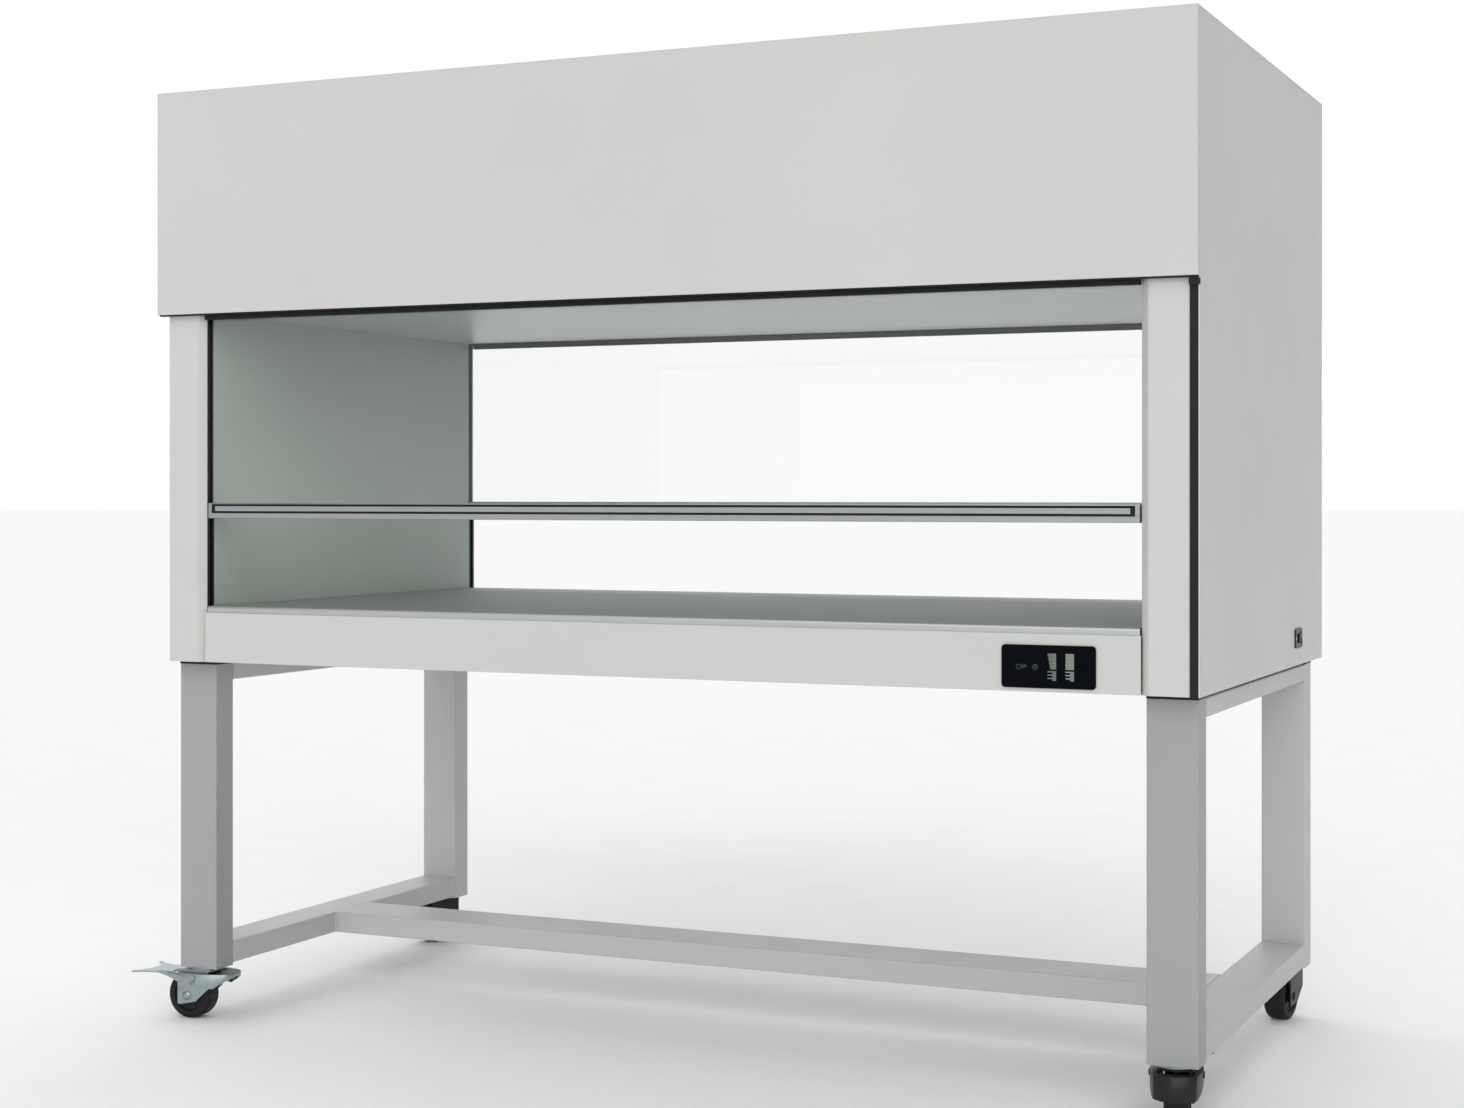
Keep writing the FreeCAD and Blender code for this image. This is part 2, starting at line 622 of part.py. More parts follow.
def filter_frame():
    outer = block(-FILTER_X, FILTER_X, -FILTER_Y, FILTER_Y, FILTER_BOTTOM,
                  FILTER_BOTTOM + FILTER_Z)
    border = 20.0
    inner = block(-FILTER_X + border, FILTER_X - border, -FILTER_Y + border, FILTER_Y - border,
                  FILTER_BOTTOM - 1, FILTER_BOTTOM + FILTER_Z + 1)
    return one(outer.cut(inner))


def filter_media():
    """Deep-pleat pack, set back from both faces of its frame."""
    gap = 20.0 + FIT
    return block(-FILTER_X + gap, FILTER_X - gap, -FILTER_Y + gap, FILTER_Y - gap,
                 FILTER_BOTTOM + 4, FILTER_BOTTOM + FILTER_Z - 4)


def diffuser():
    """Perforated ceiling panel below the filter, between the lamps."""
    half_y = FILTER_Y - LAMP_Y - FIT
    face = block(-CHAMBER_X + 2, CHAMBER_X - 2, -half_y, half_y, HOOD_BOTTOM, HOOD_BOTTOM + SHEET)
    rims = [block(-CHAMBER_X + 2, CHAMBER_X - 2, sign * half_y, sign * (half_y - SHEET),
                  HOOD_BOTTOM, HOOD_BOTTOM + 8) for sign in (-1, 1)]
    return one(face.fuse(rims))


def ceiling_lamp(sign_y):
    """Slim light bar along one long edge of the ceiling."""
    body = block(-CHAMBER_X + 2, CHAMBER_X - 2, sign_y * (FILTER_Y - LAMP_Y),
                 sign_y * FILTER_Y, HOOD_BOTTOM, HOOD_BOTTOM + 8)
    return round_edges(body, 2.0, X_AXIS)


# ---- sashes -------------------------------------------------------------
def sash_glass(sign_y):
    low = SASH_RAIL_BOTTOM + 8
    return block(-GLASS_HALF_X, GLASS_HALF_X, sign_y * (GLASS_Y - GLASS / 2),
                 sign_y * (GLASS_Y + GLASS / 2), low, GLASS_TOP)


def sash_rail(sign_y):
    """Extruded handle along the bottom edge, with a grip strip outlined by grooves."""
    half = SASH_RAIL_Y / 2
    low = SASH_RAIL_BOTTOM
    body = block(-SASH_RAIL_HALF_X, SASH_RAIL_HALF_X, sign_y * (GLASS_Y - half),
                 sign_y * (GLASS_Y + half), low, low + SASH_RAIL_Z)
    body = round_edges(body, 1.5, X_AXIS)
    seat = block(-SASH_RAIL_HALF_X - 1, SASH_RAIL_HALF_X + 1,
                 sign_y * (GLASS_Y - GLASS / 2 - FIT), sign_y * (GLASS_Y + GLASS / 2 + FIT),
                 low + 8 - FIT, low + SASH_RAIL_Z + 1)
    end = SASH_RAIL_HALF_X - 7
    face = GLASS_Y + half
    grip = block(-end, end, sign_y * (face - 4), sign_y * (face + 1), low + 9.5, low + 26)
    land = block(-end + 7.5, end - 7.5, sign_y * (face - 5), sign_y * (face + 2),
                 low + 13.5, low + 22)
    return one(body.cut(seat).cut(grip.cut(land)))


def sash_hanger(sign_x, sign_y):
    """Clamp on the top corner of the glass, with a strap down to the cable hook."""
    y = sign_y * GLASS_Y
    top = GLASS_TOP + 3
    clamp = bar(sign_x * 866, y, 44, 16, top - 25, top)
    glass = bar(sign_x * (GLASS_HALF_X - 40 + FIT), y, 80, GLASS + 2 * FIT,
                GLASS_TOP - 40, GLASS_TOP + FIT)
    strap = bar(sign_x * 884, y, 8, 12, HOOK_Z, top - 2)
    hook = bar(sign_x * 894, y, 28, 12, HOOK_Z, HOOK_Z + 10)
    return one(clamp.cut(glass).fuse([strap, hook]))


def counterweight(sign_x, sign_y):
    body = bar(sign_x * WEIGHT_CENTRE_X, sign_y * WEIGHT_CENTRE_Y, WEIGHT_X, WEIGHT_Y,
               WEIGHT_BOTTOM, WEIGHT_BOTTOM + WEIGHT_Z)
    eye = bar(sign_x * WEIGHT_CENTRE_X, sign_y * WEIGHT_CENTRE_Y, 6, 16,
              WEIGHT_BOTTOM + WEIGHT_Z, WEIGHT_BOTTOM + WEIGHT_Z + 18)
    hole = rod(4, vec(sign_x * WEIGHT_CENTRE_X - 5, sign_y * WEIGHT_CENTRE_Y,
                      WEIGHT_BOTTOM + WEIGHT_Z + 10), X_AXIS, 10)
    return one(round_edges(body, 4.0, Z_AXIS).fuse(eye).cut(hole))


def balance_shaft(sign_y):
    """Synchronising shaft with a grooved cable sheave keyed on at each end."""
    y = sign_y * SHAFT_Y
    reach = HALF_WIDTH - 5
    shaft = rod(SHAFT_R, vec(-reach, y, SHAFT_Z), X_AXIS, 2 * reach)
    pieces = []
    for sign_x in (-1, 1):
        centre = sign_x * WEIGHT_CENTRE_X
        sheave = rod(SHEAVE_R + 3, vec(centre - 8, y, SHAFT_Z), X_AXIS, 16)
        groove = rod(SHEAVE_R + 5, vec(centre - 3, y, SHAFT_Z), X_AXIS, 6)
        groove = groove.cut(rod(SHEAVE_R - 2, vec(centre - 4, y, SHAFT_Z), X_AXIS, 8))
        key = bar(centre, y, 16, 4, SHAFT_Z, SHAFT_Z + SHAFT_R + 3)
        pieces += [sheave.cut(groove), key]
    return one(shaft.fuse(pieces))


# ---- electrical ---------------------------------------------------------
def control_panel():
    """Touch panel on the base: rounded glass face on a shallow housing."""
    face = bar(PANEL_X, -BASE_FACE_Y - 1.6, PANEL_WIDTH, 2.6, PANEL_BOTTOM,
               PANEL_BOTTOM + PANEL_HEIGHT)
    return round_edges(face, 6.0, Y_AXIS)


def controller():
    """Circuit housing behind the touch panel, with mounting ears."""
    body = bar(PANEL_X, -418, 230, 90, 668, 732)
    body = round_edges(body, 4.0, Z_AXIS)
    ears = [bar(PANEL_X + sign * 125, -418, 24, 40, 668, 671) for sign in (-1, 1)]
    return one(body.fuse(ears))


def power_inlet():
    """Appliance inlet with a recess for its plug and a bay for the switch."""
    flange = block(HALF_WIDTH + FIT, HALF_WIDTH + 3, INLET_Y - INLET_WIDTH / 2,
                   INLET_Y + INLET_WIDTH / 2, INLET_Z - INLET_HEIGHT / 2,
                   INLET_Z + INLET_HEIGHT / 2)
    flange = round_edges(flange, 4.0, X_AXIS)
    body = block(HALF_WIDTH - 28, HALF_WIDTH + 1, INLET_Y - 23, INLET_Y + 23,
                 INLET_Z - 13, INLET_Z + 13)
    socket = block(HALF_WIDTH - 16, HALF_WIDTH + 4, INLET_Y - 20, INLET_Y + 4,
                   INLET_Z - 8.5, INLET_Z + 8.5)
    pins = [block(HALF_WIDTH - 18, HALF_WIDTH - 3, INLET_Y - 8 + step, INLET_Y - 6 + step,
                  INLET_Z - 2 + rise, INLET_Z + 2 + rise)
            for step, rise in ((-7, -2), (0, 2), (7, -2))]
    bay = block(HALF_WIDTH - 12, HALF_WIDTH + 4, INLET_Y + 8, INLET_Y + 21,
                INLET_Z - 11, INLET_Z + 11)
    axle = rod(1.5, vec(HALF_WIDTH - 4, INLET_Y + 7, INLET_Z), Y_AXIS, 15)
    return one(flange.fuse(body).cut(socket).cut(bay).fuse(pins + [axle]))


def power_switch():
    """Rocker, shown tipped to its off side."""
    rocker = block(HALF_WIDTH - 7, HALF_WIDTH + 2.5, INLET_Y + 8.5, INLET_Y + 20.5,
                   INLET_Z - 9.2, INLET_Z + 9.2)
    crease = rod(1.6, vec(HALF_WIDTH + 3.2, INLET_Y + 8, INLET_Z), Y_AXIS, 13)
    bore = rod(1.5 + RUNNING, vec(HALF_WIDTH - 4, INLET_Y + 8, INLET_Z), Y_AXIS, 13)
    rocker = one(rocker.cut(crease).cut(bore))
    rocker.rotate(vec(HALF_WIDTH - 4, INLET_Y, INLET_Z), Y_AXIS, ROCKER_TILT)
    return rocker


# ---- assembly -----------------------------------------------------------
def make_cabinet():
    save("base_tray", *base_tray())
    save("worktop", worktop())
    save("hood_top", hood_top())
    save("edge_seals", *edge_seals())
    guides = [sash_guide(sign_x, sign_y) for sign_x in (-1, 1) for sign_y in (-1, 1)]
    save("sash_guides", *guides)
    for side in ("left", "right"):
        save("side_panel_" + side, side_panel(side))
        save("inner_wall_" + side, inner_wall(side_sign(side)))
    for side in ("front", "rear"):
        save("base_panel_" + side, base_panel(side_sign(side)))
        save("hood_" + side, hood_cover(side_sign(side)))
    for name, (sign_x, sign_y, _) in CASTERS.items():
        save("column_" + name, column(sign_x, sign_y))


def make_air_handling():
    save("intake_grilles", intake_grille(-FAN_X), intake_grille(FAN_X))
    save("prefilters", prefilter(-FAN_X), prefilter(FAN_X))
    save("plenum", plenum())
    save("impeller_left", impeller(-FAN_X))
    save("impeller_right", impeller(FAN_X))
    save("filter_frame", filter_frame())
    save("filter_media", filter_media())
    save("diffuser", diffuser())
    save("ceiling_lamps", ceiling_lamp(-1), ceiling_lamp(1))


def make_sashes():
    for side in ("front", "rear"):
        sign = side_sign(side)
        save("sash_glass_" + side, sash_glass(sign))
        save("sash_rail_" + side, sash_rail(sign))
        save("sash_hangers_" + side, sash_hanger(-1, sign), sash_hanger(1, sign))
        save("counterweights_" + side, counterweight(-1, sign), counterweight(1, sign))
        save("balance_shaft_" + side, balance_shaft(sign))


def make_electrical():
    save("control_panel", control_panel())
    save("controller", controller())
    save("power_inlet", power_inlet())
    save("power_switch", power_switch())


make_stand()
make_casters()
make_cabinet()
make_air_handling()
make_sashes()
make_electrical()
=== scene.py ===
import json
import math

import bmesh
import bpy
from mathutils import Matrix, Vector


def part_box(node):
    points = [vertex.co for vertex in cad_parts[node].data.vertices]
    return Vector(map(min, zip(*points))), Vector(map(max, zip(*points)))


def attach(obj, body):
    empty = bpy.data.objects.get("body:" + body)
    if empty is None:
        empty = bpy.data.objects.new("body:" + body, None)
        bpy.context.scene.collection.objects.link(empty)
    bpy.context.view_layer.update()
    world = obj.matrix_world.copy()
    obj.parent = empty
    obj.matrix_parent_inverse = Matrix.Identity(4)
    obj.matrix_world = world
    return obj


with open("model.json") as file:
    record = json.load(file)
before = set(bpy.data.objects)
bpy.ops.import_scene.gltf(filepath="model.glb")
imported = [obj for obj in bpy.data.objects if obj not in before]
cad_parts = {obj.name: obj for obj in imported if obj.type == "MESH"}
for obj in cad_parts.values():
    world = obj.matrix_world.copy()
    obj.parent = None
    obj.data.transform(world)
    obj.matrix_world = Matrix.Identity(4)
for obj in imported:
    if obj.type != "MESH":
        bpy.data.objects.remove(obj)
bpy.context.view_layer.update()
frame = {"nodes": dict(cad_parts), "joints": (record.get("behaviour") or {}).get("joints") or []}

# Looks of a double-sided vertical-flow clean bench on a castered stand.
# Metres, in the frame's own axes: +X to the operator's right, -Y to the front.

nodes = frame["nodes"]

# Camera and stage
CAMERA_PLACE = (1.7615, -3.941, 0.9565)
CAMERA_HEADING = 24.46          # degrees to the left; the camera is level
CAMERA_LENS = 57.8
CAMERA_SENSOR = 36.0
CAMERA_SHIFT = -0.040
FLOOR_RADIUS = 150.0
BACKDROP = 1.02                 # a little over full white
KEY_ENERGY = 1.55
KEY_SPREAD = 70                 # degrees
KEY_DIRECTION = (-0.42, 0.86, -0.35)
ROOM_TONE = ((0.0, 0.30), (0.12, 0.60), (0.165, 1.02), (0.46, 1.02), (0.62, 0.80),
             (0.80, 0.26), (1.0, 0.13))     # brightness of the room from -X to +X
# Direction's axis, its range, and how bright the room is at each end of the range.
ROOM_LEVELS = (("Z", 0.1, 0.7, 1.0, 1.4), ("Y", -0.35, 0.05, 0.6, 1.0))

# Edges of the CAD nodes
WELD_DISTANCE = 0.00001
EDGE_SEGMENTS = 2
SHARP_ANGLE = 35                # degrees

# Screw heads, as shares of the head's radius and height
SCREW_SIDES = 24
SCREW_CROWN = 0.62
SCREW_SOCKET = 0.45
SCREW_SOCKET_FLOOR = 0.4

# Weld beads
WELD_SIZE = 0.0035
WELD_RIPPLE = 0.0022
WELD_INSET = 0.004              # clear of the rails' edges
STRETCHER_INSET = 0.003
BEAD_POINTS = 5

# Marks of the touch panel, as shares of its width and height
BAR_GRAPHS = ((0.492, 0.584, 0.03), (0.684, 0.772, 0.0))
UPPER_BARS, UPPER_START, UPPER_PITCH, UPPER_BAR = 12, 0.445, 0.031, 0.024
LOWER_BARS, LOWER_START, LOWER_PITCH, LOWER_BAR = 6, 0.185, 0.038, 0.026
LAMP_PLACE, FAN_PLACE, SYMBOL_HEIGHT = 0.182, 0.362, 0.49
LAMP_RADIUS, FAN_RADIUS, RING_WIDTH = 0.0040, 0.0044, 0.0011
MARK_THICKNESS = 0.00015
MARK_GAP = 0.00002

# Screws
GRILLE_SCREW_INSET = 0.013
GRILLE_BRIDGE = 0.111           # half of the strip between the two grilles
GRILLE_SCREW = (0.0045, 0.0013)
INLET_SCREW_INSET = 0.0031
INLET_SCREW = (0.0024, 0.0009)
INLET_SCREW_SUNK = 0.0001

# Black strips in the sash rails' grooves, painted shade along the groove edges, from the rail's
# ends and foot
SHADE_STRIP_END = 0.0072
SHADE_STRIP_INNER_END = 0.0143
SHADE_STRIP_LOWER = (0.0097, 0.0133)
SHADE_STRIP_UPPER = (0.0222, 0.0258)
SHADE_STRIP_SUNK = 0.0035
SHADE_STRIP_SIDE = 0.0018
SHADE_STRIP_CROWN = 0.0024

# Casters
CHEEK = 0.0255                  # outer face of the fork, from the wheel's middle
HUB_FACE = 0.0135
RIB_DEPTH = 0.0028
RIB_COUNT = 6
RIB_OUTLINE = ((0.0108, -0.0011), (0.0268, -0.0016), (0.0268, 0.0016), (0.0108, 0.0011))
RIVET_PROFILE = ((0, 0), (0.0082, 0), (0.0082, 0.0009), (0.0062, 0.0009), (0.0058, 0.0017),
                 (0.0040, 0.0023), (0, 0.0025))
# the front-left caster keeps its zinc plating; the other three take black_fork, painted shade on
# the same zinc casters
FORK_ZINC_ELSE_SHADE_BLACK = {"front_left": "zinc"}


# ---- camera, floor and light --------------------------------------------
def link(obj):
    bpy.context.collection.objects.link(obj)
    return obj


def make_camera():
    data = bpy.data.cameras.new("camera")
    data.lens = CAMERA_LENS
    data.sensor_width = CAMERA_SENSOR
    data.shift_y = CAMERA_SHIFT
    camera = link(bpy.data.objects.new("camera", data))
    camera.location = CAMERA_PLACE
    camera.rotation_euler = (math.radians(90), 0, math.radians(CAMERA_HEADING))
    bpy.context.scene.camera = camera


def make_floor():
    """Large pale disc under the bench, faded to white by the light on it."""
    bm = bmesh.new()
    bmesh.ops.create_circle(bm, cap_ends=True, segments=96, radius=FLOOR_RADIUS)
    mesh = bpy.data.meshes.new("studio_floor")
    bm.to_mesh(mesh)
    bm.free()
    floor = link(bpy.data.objects.new("studio_floor", mesh))
    material, tree, shader = new_material("floor_paint")
    grain = noise(tree, 6.0, 3.0)
    colour_between(tree, shader, grain, (0.935, 0.935, 0.935), (0.95, 0.95, 0.95))
    shader.inputs["Roughness"].default_value = 0.9
    shader.inputs["Specular IOR Level"].default_value = 0.1
    floor.data.materials.append(material)


def make_world():
    """Light of a white room: brightest overhead, dimmer in front, dim beyond the right end.

    What the camera sees directly of the room is plain white.
    """
    world = bpy.data.worlds.new("studio")
    bpy.context.scene.world = world
    world.use_nodes = True
    tree = world.node_tree
    place = tree.nodes.new("ShaderNodeTexCoord")
    split = tree.nodes.new("ShaderNodeSeparateXYZ")
    ramp = tree.nodes.new("ShaderNodeValToRGB")
    shift = tree.nodes.new("ShaderNodeMapRange")
    shift.inputs["From Min"].default_value = -1.0
    tree.links.new(place.outputs["Generated"], split.inputs["Vector"])
    tree.links.new(split.outputs["X"], shift.inputs["Value"])
    tree.links.new(shift.outputs["Result"], ramp.inputs["Fac"])
    ramp.color_ramp.interpolation = "EASE"
    ready = len(ramp.color_ramp.elements)
    for index, (position, value) in enumerate(ROOM_TONE):
        if index < ready:
            stop = ramp.color_ramp.elements[index]
            stop.position = position
        else:
            stop = ramp.color_ramp.elements.new(position)
        stop.color = (value, value, value, 1)
    background = tree.nodes["Background"]
    tree.links.new(ramp.outputs["Color"], background.inputs["Color"])
    levels = []
    for axis, low, high, dim, bright in ROOM_LEVELS:
        level = tree.nodes.new("ShaderNodeMapRange")
        level.inputs["From Min"].default_value = low
        level.inputs["From Max"].default_value = high
        level.inputs["To Min"].default_value = dim
        level.inputs["To Max"].default_value = bright
        tree.links.new(split.outputs[axis], level.inputs["Value"])
        levels.append(level)
    product = tree.nodes.new("ShaderNodeMath")
    product.operation = "MULTIPLY"
    for level, socket in zip(levels, product.inputs):
        tree.links.new(level.outputs["Result"], socket)
    tree.links.new(product.outputs["Value"], background.inputs["Strength"])
    backdrop = tree.nodes.new("ShaderNodeBackground")
    backdrop.inputs["Color"].default_value = (BACKDROP, BACKDROP, BACKDROP, 1)
    seen = tree.nodes.new("ShaderNodeLightPath")
    choice = tree.nodes.new("ShaderNodeMixShader")
    tree.links.new(seen.outputs["Is Camera Ray"], choice.inputs["Fac"])
    tree.links.new(background.outputs["Background"], choice.inputs[1])
    tree.links.new(backdrop.outputs["Background"], choice.inputs[2])
    tree.links.new(choice.outputs["Shader"], tree.nodes["World Output"].inputs["Surface"])


def make_lights():
    """One very broad, soft lamp in front, a little to the right."""
    data = bpy.data.lights.new("key", "SUN")
    data.energy = KEY_ENERGY
    data.angle = math.radians(KEY_SPREAD)
    lamp = link(bpy.data.objects.new("key", data))
    lamp.rotation_euler = Vector(KEY_DIRECTION).to_track_quat("-Z", "Y").to_euler()


# ---- material helpers ---------------------------------------------------
def new_material(name):
    material = bpy.data.materials.new(name)
    material.use_nodes = True
    tree = material.node_tree
    return material, tree, tree.nodes["Principled BSDF"]


def noise(tree, scale, detail=2.0, stretch=(1, 1, 1)):
    """Noise in the object's own metres, finer along the axes with the larger stretch."""
    place = tree.nodes.new("ShaderNodeTexCoord")
    mapping = tree.nodes.new("ShaderNodeMapping")
    mapping.inputs["Scale"].default_value = stretch
    texture = tree.nodes.new("ShaderNodeTexNoise")
    texture.inputs["Scale"].default_value = scale
    texture.inputs["Detail"].default_value = detail
    tree.links.new(place.outputs["Object"], mapping.inputs["Vector"])
    tree.links.new(mapping.outputs["Vector"], texture.inputs["Vector"])
    return texture.outputs["Fac"]


def colour_between(tree, shader, fac, first, second, low=0.35, high=0.65):
    """Base colour that goes from the first to the second as fac goes from low to high."""
    ramp = tree.nodes.new("ShaderNodeValToRGB")
    for stop, position, colour in zip(ramp.color_ramp.elements, (low, high), (first, second)):
        stop.position = position
        stop.color = (*colour, 1)
    tree.links.new(fac, ramp.inputs["Fac"])
    tree.links.new(ramp.outputs["Color"], shader.inputs["Base Color"])


def roughness_between(tree, shader, fac, low, high):
    spread = tree.nodes.new("ShaderNodeMapRange")
    spread.inputs["From Min"].default_value = 0.3
    spread.inputs["From Max"].default_value = 0.7
    spread.inputs["To Min"].default_value = low
    spread.inputs["To Max"].default_value = high
    tree.links.new(fac, spread.inputs["Value"])
    tree.links.new(spread.outputs["Result"], shader.inputs["Roughness"])


def bump(tree, shader, fac, height, strength=1.0):
    node = tree.nodes.new("ShaderNodeBump")
    node.inputs["Distance"].default_value = height
    node.inputs["Strength"].default_value = strength
    tree.links.new(fac, node.inputs["Height"])
    tree.links.new(node.outputs["Normal"], shader.inputs["Normal"])


def shaded(colour, factor):
    return tuple(channel * factor for channel in colour)


# ---- materials ----------------------------------------------------------
def powder_coat(name, colour, roughness, mottle=0.045):
    """Baked powder paint: orange peel, and slow drifts of tone and gloss."""
    material, tree, shader = new_material(name)
    drift = noise(tree, 1.7, 3.0)
    colour_between(tree, shader, drift, shaded(colour, 0.975), shaded(colour, 1.015))
    roughness_between(tree, shader, noise(tree, 9.0, 4.0), roughness - mottle, roughness + mottle)
    bump(tree, shader, noise(tree, 420.0, 2.0), 0.00006, 0.35)
    return material


def rolled_metal(name, colour, roughness, stretch, grazing=1.0):
    """Metal with the fine parallel lines of its rolling, grinding or drawing."""
    material, tree, shader = new_material(name)
    lines = noise(tree, 3.0, 5.0, stretch)
    colour_between(tree, shader, lines, shaded(colour, 0.93), colour)
    roughness_between(tree, shader, lines, roughness - 0.05, roughness + 0.06)
    bump(tree, shader, lines, 0.00002, 0.4)
    shader.inputs["Metallic"].default_value = 1.0
    shader.inputs["Specular Tint"].default_value = (grazing, grazing, grazing, 1)
    return material


def zinc_plate(name, colour, roughness):
    """Bright plating with faint clouding and stamping marks."""
    material, tree, shader = new_material(name)
    clouds = noise(tree, 45.0, 5.0)
    colour_between(tree, shader, clouds, shaded(colour, 0.86), colour)
    roughness_between(tree, shader, noise(tree, 130.0, 4.0), roughness - 0.06, roughness + 0.10)
    bump(tree, shader, noise(tree, 700.0, 3.0), 0.00002, 0.3)
    shader.inputs["Metallic"].default_value = 1.0
    return material


def spangled_steel():
    """Galvanised sheet: crystals of differing tone and gloss."""
    material, tree, shader = new_material("galvanised")
    place = tree.nodes.new("ShaderNodeTexCoord")
    cells = tree.nodes.new("ShaderNodeTexVoronoi")
    cells.inputs["Scale"].default_value = 110.0
    tree.links.new(place.outputs["Object"], cells.inputs["Vector"])
    tone = tree.nodes.new("ShaderNodeSeparateColor")
    tree.links.new(cells.outputs["Color"], tone.inputs["Color"])
    colour_between(tree, shader, tone.outputs["Red"], (0.40, 0.42, 0.43), (0.56, 0.58, 0.59), 0, 1)
    roughness_between(tree, shader, tone.outputs["Green"], 0.34, 0.48)
    shader.inputs["Metallic"].default_value = 1.0
    return material


def rubber(name, colour, roughness, grain=900.0):
    """Rubber or cast metal: cloudy tone and a matt grain."""
    material, tree, shader = new_material(name)
    colour_between(tree, shader, noise(tree, 30.0, 4.0), shaded(colour, 0.8), shaded(colour, 1.3))
    roughness_between(tree, shader, noise(tree, 60.0, 3.0), roughness - 0.06, roughness + 0.08)
    bump(tree, shader, noise(tree, grain, 2.0), 0.00004, 0.5)
    shader.inputs["Specular IOR Level"].default_value = 0.3
    return material


def moulded(name, colour, roughness):
    """Injection-moulded plastic with a fine spark-eroded grain."""
    material, tree, shader = new_material(name)
    colour_between(tree, shader, noise(tree, 14.0, 3.0), shaded(colour, 0.92), shaded(colour, 1.08))
    roughness_between(tree, shader, noise(tree, 50.0, 3.0), roughness - 0.04, roughness + 0.06)
    bump(tree, shader, noise(tree, 1500.0, 2.0), 0.00003, 0.4)
    shader.inputs["Specular IOR Level"].default_value = 0.4
    return material


def window_glass():
    """Clear float glass with a faint green cast; lamps shine straight through."""
    material, tree, shader = new_material("sash_glass")
    shader.inputs["Base Color"].default_value = (0.995, 1.0, 0.998, 1)
    shader.inputs["Roughness"].default_value = 0.0
    shader.inputs["IOR"].default_value = 1.5
    shader.inputs["Transmission Weight"].default_value = 1.0
    clear = tree.nodes.new("ShaderNodeBsdfTransparent")
    clear.inputs["Color"].default_value = (0.96, 0.975, 0.97, 1)
    path = tree.nodes.new("ShaderNodeLightPath")
    mix = tree.nodes.new("ShaderNodeMixShader")
    tree.links.new(path.outputs["Is Shadow Ray"], mix.inputs[0])
    tree.links.new(shader.outputs["BSDF"], mix.inputs[1])
    tree.links.new(clear.outputs["BSDF"], mix.inputs[2])
    tree.links.new(mix.outputs["Shader"], tree.nodes["Material Output"].inputs["Surface"])
    return material


def panel_glass():
    """Black back-painted touch glass."""
    material, tree, shader = new_material("panel_gloss")
    smears = noise(tree, 22.0, 4.0)
    colour_between(tree, shader, smears, (0.0022, 0.0028, 0.005), (0.0030, 0.0036, 0.006))
    roughness_between(tree, shader, smears, 0.06, 0.14)
    shader.inputs["Specular IOR Level"].default_value = 0.03
    return material


def display_print():
    """Printed marks: dim teal for the symbols to the left, pale for the bars to the right."""
    material, tree, shader = new_material("display_print")
    place = tree.nodes.new("ShaderNodeTexCoord")
    split = tree.nodes.new("ShaderNodeSeparateXYZ")
    tree.links.new(place.outputs["Object"], split.inputs["Vector"])
    colour_between(tree, shader, split.outputs["X"], (0.045, 0.075, 0.075), (0.27, 0.32, 0.27),
                   0.700, 0.738)
    roughness_between(tree, shader, noise(tree, 900.0, 3.0), 0.22, 0.32)
    shader.inputs["Specular IOR Level"].default_value = 0.05
    return material


def filter_paper():
    """Glass-fibre paper folded into deep pleats, darker along the folds as painted shade."""
    material, tree, shader = new_material("filter_paper")
    place = tree.nodes.new("ShaderNodeTexCoord")
    pleat_folds_and_shade = tree.nodes.new("ShaderNodeTexWave")
    pleat_folds_and_shade.inputs["Scale"].default_value = 80.0
    pleat_folds_and_shade.inputs["Distortion"].default_value = 0.3
    tree.links.new(place.outputs["Object"], pleat_folds_and_shade.inputs["Vector"])
    # painted shade: the paper is darker in the pleat valleys
    colour_between(tree, shader, pleat_folds_and_shade.outputs["Fac"], (0.55, 0.56, 0.54), (0.86, 0.86, 0.83), 0, 1)
    bump(tree, shader, pleat_folds_and_shade.outputs["Fac"], 0.002)
    shader.inputs["Roughness"].default_value = 0.9
    return material


